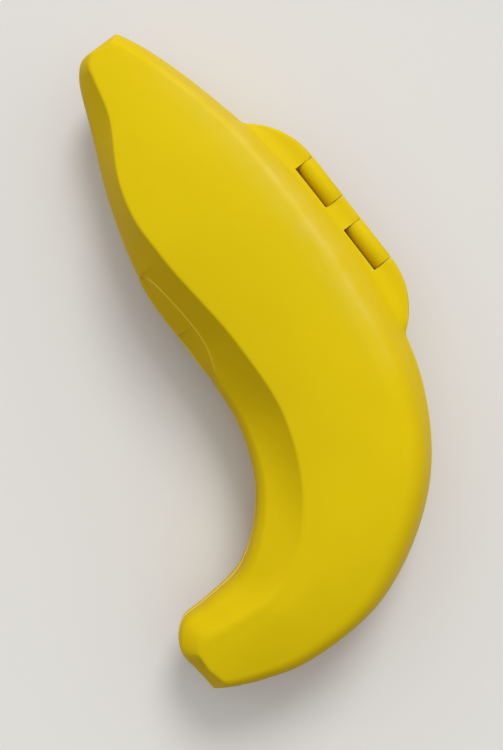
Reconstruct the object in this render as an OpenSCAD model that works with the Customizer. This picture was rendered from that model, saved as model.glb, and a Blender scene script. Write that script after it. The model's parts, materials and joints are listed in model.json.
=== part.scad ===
// Banana carrying case: two hollow halves that close on each other along a flat seam.
// The upper half swings on a pin at the outer curve and is pulled open by tabs at the inner curve.
// X points to the outer curve, Y to the stem end, Z up; the case lies on its flat lower face at Z = 0.

/* [Case] */
// Length of the case over its two ends
case_length = 238; // [215:1:262]
// Width of the case over its two curves, without the hinge
case_width = 106; // [96:1:118]
// Depth of each half at the belly
half_depth = 25; // [21:0.5:30]
// Depth of each half at the stem end
stem_depth = 12; // [9:0.5:16]
// Depth of each half at the blossom end
tail_depth = 14; // [10:0.5:18]
// Thickness of the walls
wall = 2; // [1.6:0.1:2.6]
// Gap between the two halves when shut
seam = 0.2; // [0.1:0.05:0.4]

/* [Section] */
// Height of the upright band beside the seam
band = 3.5; // [3.2:0.1:5]
// How far the inner wall leans in at the belly
crease_run = 16; // [13:0.5:18]
// How far the outer wall leans in at the belly
shoulder_run = 11; // [8:0.5:14]
// Depth of the hollow that runs along the inner wall at the belly
flute = 1.8; // [0:0.1:2.2]
// How far the upper face rises from its edges to its middle
crown = 1.4; // [0.5:0.1:2.5]
// How far the stem end leans in
stem_end_run = 2.8; // [1.5:0.1:5]
// How far the blossom end leans in
tail_end_run = 3.5; // [2:0.5:6]

/* [Hinge] */
// Radius of the barrels and knuckles
barrel_r = 3.6; // [3:0.1:4.4]
// Length of each barrel
barrel_length = 17.4; // [14:0.2:20]
// Distance between the two barrels
barrel_space = 10.6; // [8:0.2:14]
// Gap beside the barrels and knuckles
hinge_gap = 0.4; // [0.3:0.05:0.8]
// Thickness of the upper leaf and of the barrels' webs
leaf = 3; // [2.2:0.1:3.1]
// Radius of the leaf's rounded ends
lobe_r = 30.5; // [26:0.5:40]
// Radius of the hinge pin
pin_r = 1.5; // [1:0.1:1.8]
// Length of the pin held in each end knuckle
pin_hold = 8; // [5:0.5:10]
// Radial clearance of the pin in the knuckles that hold it
pin_grip = 0.02; // [0.01:0.01:0.04]
// Radial clearance of the pin in the barrels that turn on it
pin_play = 0.06; // [0.05:0.01:0.1]

/* [Opening] */
// Length of the thumb scoop along the inner curve
scoop_length = 50; // [38:1:58]
// Depth of the thumb scoop
scoop_depth = 6; // [4:0.25:7]
// Thickness of the pull tabs
tab = 2.4; // [1.6:0.1:3]
// How far the lower pull tab reaches under the upper one
tab_lap = 2; // [1:0.5:5]
// How far the tabs stand out past the seam's own line
tab_proud = 0.2; // [0:0.1:1.5]
// Height of the locating lip above the seam
lip_height = 2; // [1:0.1:3]
// Thickness of the locating lip
lip = 0.9; // [0.6:0.05:1.1]
// Clearance round the locating lip
lip_gap = 0.25; // [0.15:0.05:0.4]

/* [Hidden] */
// Ribs across the case at the seam, from the stem end to the blossom end: [inner curve, outer curve]
drawn_length = 238;
drawn_width = 106;
ribs = [
    [[-49.9, 111.6], [-37, 119]],
    [[-52.1, 108.9], [-33.8, 117]],
    [[-53.1, 104.2], [-26, 111]],
    [[-51.6, 85], [-10.5, 95.8]],
    [[-49.1, 57.8], [8.5, 73.5]],
    [[-41.5, 26.8], [27.5, 45.5]],
    [[-27, -1.5], [42, 17]],
    [[-15.5, -28], [52.5, -22]],
    [[-13.6, -52.1], [48.8, -59.7]],
    [[-22.6, -75.7], [27.1, -95.5]],
    [[-37.7, -86.9], [-2.1, -113.8]],
    [[-46.5, -92.2], [-18.5, -117.9]],
    [[-49.1, -99.2], [-28, -118.9]],
    [[-48.3, -104.6], [-34.3, -119]],
    [[-46.2, -107.1], [-38.5, -119]],
];
// Places along the middle line from the stem end, as drawn
belly_start = 95;
belly_end = 190;
hinge_place = 92.85;
hinge_parallel_place = 96;
scoop_place = 108;

// Lean of the inner wall along the case: [place along the middle line, share of its lean at the belly]
crease_shape = [[0, 0.25], [12, 0.42], [29, 0.55], [48, 0.45], [58, 0.44], [68, 0.51], [80, 0.69],
                [100, 0.89], [140, 1.02], [180, 1.02], [200, 1.05], [215, 1.02], [232, 0.87], [252, 0.69],
                [271, 0.55]];
// Depth of the hollow in the inner wall, as a share of its depth at the belly
flute_shape = [[0, 0.1], [29, 0.35], [80, 0.38], [100, 0.67], [140, 1], [180, 0.9], [215, 0], [232, 0.35],
               [252, 0.35], [271, 0.15]];
// Share of the inner wall's height that stands upright above the band
upright_shape = [[0, 0], [130, 0], [150, 0.13], [180, 0.4], [200, 0.5], [215, 0.5], [232, 0.38], [252, 0.28],
                 [271, 0.2]];
// Lean of the outer wall, as a share of its lean at the belly
shoulder_shape = [[0, 0.49], [20, 0.53], [44, 0.58], [60, 0.68], [80, 0.85], [120, 1.02], [150, 0.91],
                  [180, 0.59], [205, 0.53], [230, 0.44], [271, 0.36]];

// Roundings of the section: [place along the middle line, reach from the corner]
rim_rounds = [[0, 2.2], [80, 2.5], [140, 4.5], [180, 6], [232, 5.5], [271, 2.5]];
crease_rounds = [[0, 2.5], [15, 1.2], [180, 1.4], [215, 3.5], [271, 3.5]];
shoulder_wall_rounds = [[0, 8], [120, 8.5], [180, 12], [205, 11], [230, 8], [271, 6]];
shoulder_face_rounds = [[0, 2.5], [80, 3.4], [120, 6.5], [150, 9], [180, 7.5], [230, 6], [271, 4.5]];
foot_round = 3;
scoop_edge_round = 0.8;
// Share of a side that a rounding may take
most_of_side = 0.48;
// Place of the hollow up the inner wall, as a share of the wall's lean and height
hollow_share = 0.6;
// Place of the ridge across the upper face, and how far the ridge stops short of each end
ridge_share = 0.5;
ridge_short = 0.8;
// Fall of the upper face to its outer edge, as a share of its fall to the inner edge
outer_fall = 1.4;
// Width from which the upper face has its whole rise
crown_width = 62;
// A crowned face is at three quarters of its rise half way to the ridge
crown_half_way = [0.5, 0.75];
// Length of the middle line over which the ends' lean fades out
end_fade = 40;
// Length of the close-set sections at the stem end and at the blossom end
stem_zone = 15;
tail_zone = 33;
// Spacing of the sections in the ends, the long stretches and the scoop
step_end = 3;
step_long = 7;
step_scoop = 5;
// Length of the pin's own gap at its blind end
pin_end_gap = 0.4;
// How far the lobes stay inside the barrels' outer line
lobe_inset = 0.2;
// Overlap that makes a cut run clear of a face
over = 1;

case_colour = [0.86, 0.72, 0.04];
pin_colour = [0.75, 0.75, 0.72];

// Small helpers
function unit(v) = v / norm(v);
function mix(a, b, x) = a + (b - a) * x;
function clamp(x) = max(0, min(1, x));
function even(r) = [r, r];
function backwards(list) = [for (i = [len(list) - 1:-1:0]) list[i]];
function between(a, b, step) = let (n = ceil((b - a) / step)) [for (i = [0:n - 1]) a + (b - a) * i / n];

// Smooth curve through a list of points, by the distance-weighted form of the Catmull-Rom spline
function ends_added(p) = let (n = len(p)) concat([2 * p[0] - p[1]], p, [2 * p[n - 1] - p[n - 2]]);
function knot(a, b) = sqrt(norm(b - a));
function cross_fade(a, b, ta, tb, t) = (a * (tb - t) + b * (t - ta)) / (tb - ta);
function curve(p, t) =
    let (
        i = min(floor(t), len(p) - 4),
        k1 = knot(p[i], p[i + 1]),
        k2 = k1 + knot(p[i + 1], p[i + 2]),
        k3 = k2 + knot(p[i + 2], p[i + 3]),
        k = mix(k1, k2, t - i),
        a = cross_fade(p[i], p[i + 1], 0, k1, k),
        b = cross_fade(p[i + 1], p[i + 2], k1, k2, k),
        c = cross_fade(p[i + 2], p[i + 3], k2, k3, k)
    )
    cross_fade(cross_fade(a, b, 0, k2, k), cross_fade(b, c, k1, k3, k), k1, k2, k);

// The two curves of the seam, and the middle line between them measured from the stem end
function sized(p) = [p.x * case_width / drawn_width, p.y * case_length / drawn_length];
inner_points = ends_added([for (r = ribs) sized(r[0])]);
outer_points = ends_added([for (r = ribs) sized(r[1])]);
last_rib = len(ribs) - 1;
rib_parts = 4;
middle = [for (k = [0:last_rib * rib_parts])
    (curve(inner_points, k / rib_parts) + curve(outer_points, k / rib_parts)) / 2];
function run_to(k) = k == 0 ? 0 : run_to(k - 1) + norm(middle[k] - middle[k - 1]);
middle_table = [for (k = [0:len(middle) - 1]) [run_to(k), k / rib_parts]];
middle_length = middle_table[len(middle_table) - 1][0];
function inner_at(s) = curve(inner_points, lookup(s, middle_table));
function outer_at(s) = curve(outer_points, lookup(s, middle_table));

// Places that scale with the length
stretch = case_length / drawn_length;
hinge_at = hinge_place * stretch;
scoop_at = scoop_place * stretch;
scoop_from = scoop_at - scoop_length / 2;
scoop_to = scoop_at + scoop_length / 2;
upper_tab_to = scoop_at;
lower_tab_from = scoop_at - tab_lap;

// Sections' places along the middle line
stations = concat(
    between(0, stem_zone, step_end),
    between(stem_zone, scoop_from, step_long),
    between(scoop_from, lower_tab_from, step_scoop),
    [lower_tab_from],
    between(upper_tab_to, scoop_to, step_scoop),
    between(scoop_to, middle_length - tail_zone, step_long),
    between(middle_length - tail_zone, middle_length, step_end),
    [middle_length]
);

// What the section measures at a place along the middle line
function depth_at(s) =
    s < belly_start * stretch ? mix(stem_depth, half_depth, sin(90 * s / (belly_start * stretch)))
    : s < belly_end * stretch ? half_depth
    : mix(tail_depth, half_depth,
          cos(90 * (s - belly_end * stretch) / (middle_length - belly_end * stretch)));
function drawn(s, shape) = lookup(s / stretch, shape);
function crease_lean(s) = crease_run * drawn(s, crease_shape);
function shoulder_lean(s) = shoulder_run * drawn(s, shoulder_shape);
function crease_reach(s) = even(drawn(s, crease_rounds));
function shoulder_reach(s) = [drawn(s, shoulder_wall_rounds), drawn(s, shoulder_face_rounds)];
// The scoop starts round at its stem side and runs out at its blossom side
function scoop(s) =
    let (x = (s - scoop_at) / (scoop_length / 2))
    abs(x) >= 1 ? 0 : scoop_depth * (x < 0 ? sqrt(1 - x * x) : 1 - x * x);
function width_at(s) = norm(outer_at(s) - inner_at(s));
function crowned(rise, w) = rise * pow(min(1, w / crown_width), 2);

// Corners of one side of the section, from the seam to the ridge: [distance from the rim, height]
function inner_corners(s, w, rise) =
    let (
        h = depth_at(s) - seam / 2,
        c = min(crease_lean(s), w * most_of_side),
        edge = h - crowned(rise, w),
        upright = mix(band, edge, drawn(s, upright_shape)),
        hollow = [c * hollow_share, mix(upright, edge, hollow_share) - flute * drawn(s, flute_shape)],
        d = scoop(s)
    )
    [[d, 0], [d, mix(upright, hollow.y, d / hollow.x)], hollow, [c, edge], [w * ridge_share, h]];
function outer_corners(s, w, rise) =
    let (
        h = depth_at(s) - seam / 2,
        o = min(shoulder_lean(s), w * most_of_side),
        edge = h - crowned(rise, w) * outer_fall
    )
    [[0, 0], [0, band], [o, edge], [w * (1 - ridge_share), h]];

// The same corners moved into the wall
function right_of(a, b) = let (d = unit(b - a)) [d.y, -d.x];
function moved_in(p, by) = [for (i = [0:len(p) - 1])
    i == 0 ? p[0] + [by, 0]
    : i == len(p) - 1 ? p[i] - [0, by]
    : let (m = right_of(p[i - 1], p[i]), n = right_of(p[i], p[i + 1])) p[i] + by * (m + n) / (1 + m * n)];

function started_at(foot, p) = [for (i = [0:len(p) - 1]) i == 0 ? [p[0].x, foot] : p[i]];

// One side with its corners rounded; rounds gives the reach before and after each corner, counts the steps
function rounded_corner(a, b, c, r, steps) =
    let (
        p = b + unit(a - b) * min(r[0], most_of_side * norm(a - b)),
        q = b + unit(c - b) * min(r[1], most_of_side * norm(c - b))
    )
    [for (k = [0:steps]) let (x = k / steps) mix(mix(p, b, x), mix(b, q, x), x)];
function rounded_side(p, rounds, counts) =
    let (
        n = len(p),
        turns = [for (i = [1:n - 2]) each
            rounded_corner(p[i - 1], p[i], p[i + 1], rounds[i - 1], counts[i - 1])],
        from = turns[len(turns) - 1],
        to = p[n - 1],
        half_way = [mix(from.x, to.x, crown_half_way[0]), mix(from.y, to.y, crown_half_way[1])]
    )
    concat([p[0]], turns, [half_way, to]);

// How far a point of a side stays inside the case's two ends: upright parts lean, the face stops short
function end_share(point, p) =
    let (edge = p[len(p) - 2], ridge = p[len(p) - 1])
    [clamp((point.y - band) / (edge.y - band)), clamp((point.x - edge.x) / (ridge.x - edge.x))];
function along(s, share, inset) =
    let (
        stem = inset + stem_end_run * share[0] + ridge_short * share[1],
        tail = inset + tail_end_run * share[0] + ridge_short * share[1],
        fade = end_fade * stretch
    )
    s + stem * max(0, 1 - s / fade) - tail * max(0, 1 - (middle_length - s) / fade);

// A station's two sides as points of the case, from the seam to the ridge, for a half with its seam at Z = 0
function placed(s, sides, corners, inset) =
    let (top = along(s, [1, 1], inset), ridge = mix(inner_at(top), outer_at(top), ridge_share))
    [for (k = [0, 1]) let (n = len(sides[k]), height = sides[0][n - 1].y) concat(
        [for (j = [0:n - 2])
            let (
                point = sides[k][j],
                place = along(s, end_share(point, corners[k]), inset),
                a = inner_at(place),
                b = outer_at(place),
                spot = k == 0 ? a + unit(b - a) * point.x : b + unit(a - b) * point.x
            )
            [spot.x, spot.y, point.y]],
        [[ridge.x, ridge.y, height]]
    )];
function ridge_width(s, inset) = width_at(along(s, [1, 1], inset));
function outside(s, rise) =
    let (
        w = ridge_width(s, 0),
        corners = [inner_corners(s, w, rise), outer_corners(s, w, rise)],
        rim = mix(drawn(s, rim_rounds), scoop_edge_round, scoop(s) / scoop_depth),
        sides = [
            rounded_side(corners[0], [even(rim), even(crease_lean(s)), crease_reach(s)], [2, 2, 3]),
            rounded_side(corners[1], [even(foot_round), shoulder_reach(s)], [3, 5]),
        ]
    )
    placed(s, sides, corners, 0);
function inside(s, rise, foot) =
    let (
        w = ridge_width(s, wall),
        corners = [for (p = [inner_corners(s, w, rise), outer_corners(s, w, rise)])
            started_at(foot, moved_in(p, wall))],
        rim = drawn(s, rim_rounds),
        sides = [
            rounded_side(corners[0], [even(rim), even(crease_lean(s)), crease_reach(s)], [1, 1, 2]),
            rounded_side(corners[1], [even(foot_round), shoulder_reach(s)], [2, 3]),
        ]
    )
    placed(s, sides, corners, wall);

// Rim line at a distance inside the seam's own line, at one height
function rim_side(s, k, in) =
    let (place = along(s, [0, 0], in), a = inner_at(place), b = outer_at(place))
    k == 0 ? a + unit(b - a) * (scoop(s) + in) : b + unit(a - b) * in;
function rim_loop(in) = concat(
    [for (s = stations) rim_side(s, 0, in)],
    [for (s = backwards(stations)) rim_side(s, 1, in)]
);
function lifted(loop, z) = [for (p = loop) [p.x, p.y, z]];

// Closed loops round the case, one for each level of the sections
function level_loops(sections) =
    let (n = len(sections))
    [for (j = [0:len(sections[0][0]) - 1]) concat(
        [for (i = [0:n - 1]) sections[i][0][j]],
        [for (i = [n - 1:-1:0]) sections[i][1][j]]
    )];

// Skin over closed loops with as many points each; joined also closes the last loop to the first
module skin(loops, joined = false) {
    rows = len(loops);
    columns = len(loops[0]);
    polyhedron(
        points = [for (loop = loops) each loop],
        faces = [for (r = [0:joined ? rows - 1 : rows - 2], c = [0:columns - 1])
            let (
                here = r * columns,
                next = (r + 1) % rows * columns,
                d = (c + 1) % columns
            )
            each [[here + c, here + d, next + c], [here + d, next + d, next + c]]]
    );
}

// One half with its seam at Z = 0 and its face upwards; rebate is the height cut for the lip
module half(rise, rebate) {
    shell_outside = level_loops([for (s = stations) outside(s, rise)]);
    shell_inside = level_loops([for (s = stations) inside(s, rise, rebate)]);
    step = rim_loop(wall - lip - lip_gap);
    rim = rebate > 0 ? [lifted(step, 0), lifted(step, rebate)] : [];
    skin(concat(backwards(shell_outside), rim, shell_inside));
}

// Frame of the hinge: local Y along the pin to the stem end, local X away from the case
parallel_at = hinge_parallel_place * stretch;
pin_line = unit(outer_at(parallel_at - barrel_length) - outer_at(parallel_at + barrel_length));
pin_out = [pin_line.y, -pin_line.x];
rim_reach = max([for (s = stations) outer_at(s) * pin_out]);
pin_place = pin_out * (rim_reach + hinge_gap + barrel_r) + pin_line * (outer_at(hinge_at) * pin_line);
pin_angle = atan2(pin_out.y, pin_out.x);
// Spans along the pin, from its middle: barrels, end knuckles and leaf
barrel_from = barrel_space / 2;
barrel_to = barrel_from + barrel_length;
knuckle_from = barrel_to + hinge_gap;
lobe_edge = barrel_r - lobe_inset;
knuckle_to = knuckle_from + sqrt(2 * lobe_r * barrel_r);
pin_to = knuckle_from + pin_hold;

module at_hinge() translate([pin_place.x, pin_place.y, half_depth]) rotate(pin_angle) children();
module at_hinge_flat() translate(pin_place) rotate(pin_angle) children();
module along_pin(from, to, r) translate([0, from, 0]) rotate([-90, 0, 0])
    cylinder(h = to - from, r = r, $fn = 48);
module outside_case() difference() {
    children();
    polygon(rim_loop(0));
}

// Leaf's outline on the case's side of the pin: a straight edge with a round lobe at each end
module leaf_outline() intersection() {
    union() {
        for (side = [-1, 1]) translate([lobe_edge - lobe_r, side * knuckle_from])
            circle(r = lobe_r, $fn = 96);
        translate([-2 * lobe_r, -knuckle_from]) square([2 * lobe_r, 2 * knuckle_from]);
    }
    translate([-2 * lobe_r, -3 * lobe_r]) square([2 * lobe_r - seam, 6 * lobe_r]);
}

module lower_shell() color(case_colour) translate([0, 0, half_depth - seam / 2]) mirror([0, 0, 1]) half(0, 0);

module upper_shell() color(case_colour) translate([0, 0, half_depth + seam / 2])
    half(crown, lip_height + lip_gap);

module locating_lip() color(case_colour) {
    foot = half_depth - seam / 2;
    outer_line = rim_loop(wall - lip);
    inner_line = rim_loop(wall);
    top = foot + lip_height + seam;
    inner_face = [lifted(inner_line, foot), lifted(inner_line, top)];
    outer_face = [lifted(outer_line, top), lifted(outer_line, foot)];
    skin(concat(inner_face, outer_face), joined = true);
}

module lower_hinge_barrels() color(case_colour) difference() {
    for (side = [-1, 1]) {
        from = side > 0 ? barrel_from : -barrel_to;
        union() {
            at_hinge() along_pin(from, from + barrel_length, barrel_r);
            translate([0, 0, half_depth - leaf]) linear_extrude(leaf - seam / 2) outside_case()
                at_hinge_flat() translate([-2 * barrel_r - hinge_gap, from])
                    square([2 * barrel_r + hinge_gap, barrel_length]);
        }
    }
    at_hinge() along_pin(-barrel_to - over, barrel_to + over, pin_r + pin_play);
}

module upper_hinge_leaf() color(case_colour) difference() {
    union() {
        difference() {
            translate([0, 0, half_depth + seam / 2]) linear_extrude(leaf - seam / 2)
                outside_case() at_hinge_flat() leaf_outline();
            for (side = [-1, 1]) at_hinge()
                translate([-lobe_r, side > 0 ? barrel_from - hinge_gap : -knuckle_from, -over])
                    cube([2 * lobe_r, barrel_length + 2 * hinge_gap, leaf + 2 * over]);
        }
        at_hinge() along_pin(hinge_gap - barrel_from, barrel_from - hinge_gap, barrel_r);
        for (side = [-1, 1]) at_hinge() intersection() {
            along_pin(side > 0 ? knuckle_from : -knuckle_to, side > 0 ? knuckle_to : -knuckle_from, barrel_r);
            translate([lobe_edge - lobe_r, side * knuckle_from, -2 * barrel_r])
                cylinder(h = 4 * barrel_r, r = lobe_r, $fn = 96);
        }
    }
    at_hinge() along_pin(-knuckle_to - over, pin_to + pin_end_gap, pin_r + pin_grip);
}

module hinge_pin() color(pin_colour) at_hinge() along_pin(-pin_to, pin_to, pin_r);

// Pull tab between two places along the scoop, out to the seam's own line and a little past it
module tab_outline(from, to) {
    places = [for (s = stations) if (s >= from && s <= to) s];
    function proud(s) = tab_proud * sqrt(scoop(s) / scoop_depth);
    function rib(s) = unit(outer_at(s) - inner_at(s));
    polygon(concat(
        [for (s = places) inner_at(s) - rib(s) * proud(s)],
        [for (s = backwards(places)) inner_at(s) + rib(s) * scoop(s)]
    ));
}

module upper_pull_tab() color(case_colour) translate([0, 0, half_depth + seam / 2])
    linear_extrude(tab) tab_outline(scoop_from, upper_tab_to);

module lower_pull_tab() color(case_colour) translate([0, 0, half_depth - seam / 2 - tab])
    linear_extrude(tab) tab_outline(lower_tab_from, scoop_to);

lower_shell();
lower_hinge_barrels();
lower_pull_tab();
locating_lip();
upper_shell();
upper_hinge_leaf();
upper_pull_tab();
hinge_pin();
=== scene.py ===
"""Banana carrying case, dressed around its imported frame.

Sizes are in millimetres until a mesh is made. The case lies on its flat lower face, with the stem end
towards +Y, the outer curve towards +X and the seam at half its height.
"""

import json
import logging
import math
from bisect import bisect_right
from dataclasses import astuple, dataclass, field
from enum import Enum
from itertools import accumulate
from typing import TypeVar

import bmesh
import bpy
from mathutils import Matrix, Vector
from mathutils.kdtree import KDTree


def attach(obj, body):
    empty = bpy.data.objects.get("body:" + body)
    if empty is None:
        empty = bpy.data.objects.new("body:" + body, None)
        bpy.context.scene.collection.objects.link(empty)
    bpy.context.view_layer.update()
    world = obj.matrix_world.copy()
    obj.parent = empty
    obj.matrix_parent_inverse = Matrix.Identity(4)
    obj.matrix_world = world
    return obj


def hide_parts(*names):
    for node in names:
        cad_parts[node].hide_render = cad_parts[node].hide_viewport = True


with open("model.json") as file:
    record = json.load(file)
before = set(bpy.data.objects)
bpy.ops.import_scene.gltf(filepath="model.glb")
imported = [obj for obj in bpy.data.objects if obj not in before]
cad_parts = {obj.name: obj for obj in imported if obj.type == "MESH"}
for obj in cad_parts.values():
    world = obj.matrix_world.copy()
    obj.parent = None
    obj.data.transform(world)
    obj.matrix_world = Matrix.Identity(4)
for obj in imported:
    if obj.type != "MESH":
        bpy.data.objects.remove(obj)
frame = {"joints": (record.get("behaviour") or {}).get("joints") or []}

Mesh = bmesh.types.BMesh
Vert = bmesh.types.BMVert
Object = bpy.types.Object
Material = bpy.types.Material
NodeTree = bpy.types.NodeTree
Node = bpy.types.Node
Socket = bpy.types.NodeSocket
Points = list[Vector]
Span = tuple[float, float]
Colour = tuple[float, float, float]
Value = TypeVar("Value", float, Vector)
Knot = TypeVar("Knot")

LOG = logging.getLogger("banana_case")
MM = 0.001
MERGE_DISTANCE = 1e-6
HALVINGS = 50
SHARP_ANGLE = math.radians(38)
BEVEL_ANGLE = math.radians(30)
BEVEL_STEPS = 3
# Share of a side that its two roundings may take.
ROUNDING_ROOM = 0.96
# How far a rounding's middle stands off its two sides, over its reach.
ARC_SHARE = 0.3
# Radii of an edge that is fully paled, for wearing and as a painted highlight, and of one that is left plain.
PALED_EDGE_RADII = (0.35, 0.9)
# A longer edge is a plain seam across an end, and is not paled.
LONGEST_PALED_EDGE = 2.5
# Attribute that pales tight edges, as wearing and as a painted highlight.
EDGE_WEAR_AND_HIGHLIGHT = "edge_wear"
# Attribute of a painted sheen along the outer ridge, with a thin line of rubbing in it.
RIDGE_SHEEN_AND_RUBBING = "ridge_wear"


def mix(a: Value, b: Value, share: float) -> Value:
    """Value between two numbers or vectors, by a share from 0 to 1."""
    return a + (b - a) * share


def clamp(x: float) -> float:
    """Number held between 0 and 1."""
    return max(0.0, min(1.0, x))


def smooth(x: float) -> float:
    """Smooth step from 0 to 1."""
    c = clamp(x)
    return c * c * (3 - 2 * c)


def smooth_floor(x: float, soft: float) -> float:
    """Larger of a number and 0, with the kink rounded over a length each way."""
    eased = (x + soft) ** 2 / (4 * soft)
    return 0.0 if x <= -soft else x if x >= soft else eased


def quarter_round(x: float, r: float) -> float:
    """Fall of a quarter circle at a distance from where it stands upright."""
    away = clamp(1 - x / r)
    return r * (1 - math.sqrt(1 - away * away))


def even_places(start: float, end: float, step: float) -> list[float]:
    """Even places from a start up to an end, the end left out."""
    n = math.ceil((end - start) / step)
    return [mix(start, end, i / n) for i in range(n)]


def with_ends(points: Points) -> Points:
    """Points of a spline with one more at each end, in line with the last two."""
    return [2 * points[0] - points[1], *points, 2 * points[-1] - points[-2]]


def curve_point(points: Points, place: float) -> Vector:
    """Point on a distance-weighted Catmull-Rom spline.

    Args:
        points: Points of the spline, with one extra point before and after it.
        place: Whole numbers give the spline's own points.

    Returns:
        The point at that place.
    """
    i = min(int(place), len(points) - 4)
    p0, p1, p2, p3 = points[i:i + 4]
    k1 = math.sqrt((p1 - p0).length)
    k2 = k1 + math.sqrt((p2 - p1).length)
    k3 = k2 + math.sqrt((p3 - p2).length)
    k = mix(k1, k2, place - i)
    a = mix(p0, p1, k / k1)
    b = mix(p1, p2, (k - k1) / (k2 - k1))
    c = mix(p2, p3, (k - k2) / (k3 - k2))
    return mix(mix(a, b, k / k2), mix(b, c, (k - k1) / (k3 - k1)), (k - k1) / (k2 - k1))


class Side(Enum):
    """The two sides of a section, each measured in from its own rim."""

    INNER = 0
    OUTER = 1


@dataclass(frozen=True)
class Corner:
    """Corner of a section: its place, and its rounding's reach along the two sides that meet there."""

    at: Vector
    before: float
    after: float
    steps: int


@dataclass(frozen=True)
class InnerKnot:
    """Inner wall at a place: its lean, the upright share of its height, its hollow and its two roundings."""

    place: float
    lean: float
    upright: float
    hollow: float
    crease: float
    foot: float


@dataclass(frozen=True)
class OuterKnot:
    """Outer wall at a place: its lean, and its shoulder's rounding down the wall and across the face."""

    place: float
    lean: float
    wall_side: float
    face_side: float


def knot_at(knots: tuple[Knot, ...], s: float) -> Knot:
    """Knot at any place, on smooth curves through the given ones.

    Args:
        knots: Knots of one kind in order of their places.
        s: Place along the middle line.

    Returns:
        A knot of the same kind.
    """
    rows = [astuple(knot) for knot in knots]
    last = len(rows) - 1
    i = max(0, min(last - 1, bisect_right([row[0] for row in rows], s) - 1))
    span = rows[i + 1][0] - rows[i][0]
    x = clamp((s - rows[i][0]) / span)

    def slope(j: int, v: int) -> float:
        """Slope of a value at a knot, over the span."""
        a, b = rows[max(0, j - 1)], rows[min(last, j + 1)]
        return (b[v] - a[v]) / (b[0] - a[0]) * span

    values = []
    for v in range(1, len(rows[0])):
        ease = (1 - x) ** 2 * x * slope(i, v) - (1 - x) * x ** 2 * slope(i + 1, v)
        values.append(mix(rows[i][v], rows[i + 1][v], smooth(x)) + ease)
    return type(knots[0])(s, *values)


@dataclass
class SidePath:
    """One side of a section from the seam to the ridge, with how far each point keeps inside the ends."""

    points: Points
    insets: list[float]
    edge: Vector
    ridge: Vector


@dataclass(frozen=True)
class Station:
    """Place of a section along the middle line.

    A pocket station is cut back to the hinge's pockets, eased is how far the leaf's edge is drawn in
    there, and turn puts the two stations at a pocket's end in order.
    """

    s: float
    pocket: bool = False
    eased: float = 0.0
    turn: int = 0


def rounded_path(start: Vector, corners: list[Corner], ridge: Vector, face_steps: int) -> Points:
    """Path through rounded corners, ending on a crowned face.

    Args:
        start: First point of the path.
        corners: Corners to round; where two roundings need more than their side, both shrink.
        ridge: Top of the crowned face.
        face_steps: Points on the face, the ridge included.

    Returns:
        The points of the path.
    """
    points = [start, *(c.at for c in corners), ridge]
    reach = [0.0, *(c.after for c in corners)]
    taken = [*(c.before for c in corners), 0.0]
    shrink = []
    for a, b, used in zip(points, points[1:], (r + t for r, t in zip(reach, taken))):
        shrink.append(min(1.0, ROUNDING_ROOM * (b - a).length / used) if used > 0 else 1.0)
    path = [start]
    for i, corner in enumerate(corners, 1):
        here = corner.at
        a = here + (points[i - 1] - here).normalized() * corner.before * shrink[i - 1]
        b = here + (points[i + 1] - here).normalized() * corner.after * shrink[i]
        for k in range(corner.steps + 1):
            x = k / corner.steps
            path.append(mix(mix(a, here, x), mix(here, b, x), x))
    foot = path[-1]
    for k in range(1, face_steps + 1):
        v = k / face_steps
        path.append(Vector((mix(foot.x, ridge.x, v), mix(foot.y, ridge.y, 1 - (1 - v) ** 2))))
    return path


def moved_in(points: Points, by: float) -> Points:
    """Corners of a side moved into the wall.

    Args:
        points: Corners from the seam to the ridge.
        by: Thickness of the wall.

    Returns:
        The moved corners; the first keeps its height and the last its distance from the rim.
    """
    def right_of(a: Vector, b: Vector) -> Vector:
        """Unit vector to the right of a side."""
        d = (b - a).normalized()
        return Vector((d.y, -d.x))

    moved = [points[0] + Vector((by, 0))]
    for a, b, c in zip(points, points[1:], points[2:]):
        m, n = right_of(a, b), right_of(b, c)
        moved.append(b + by * (m + n) / (1 + m.dot(n)))
    return [*moved, points[-1] - Vector((0, by))]


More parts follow.
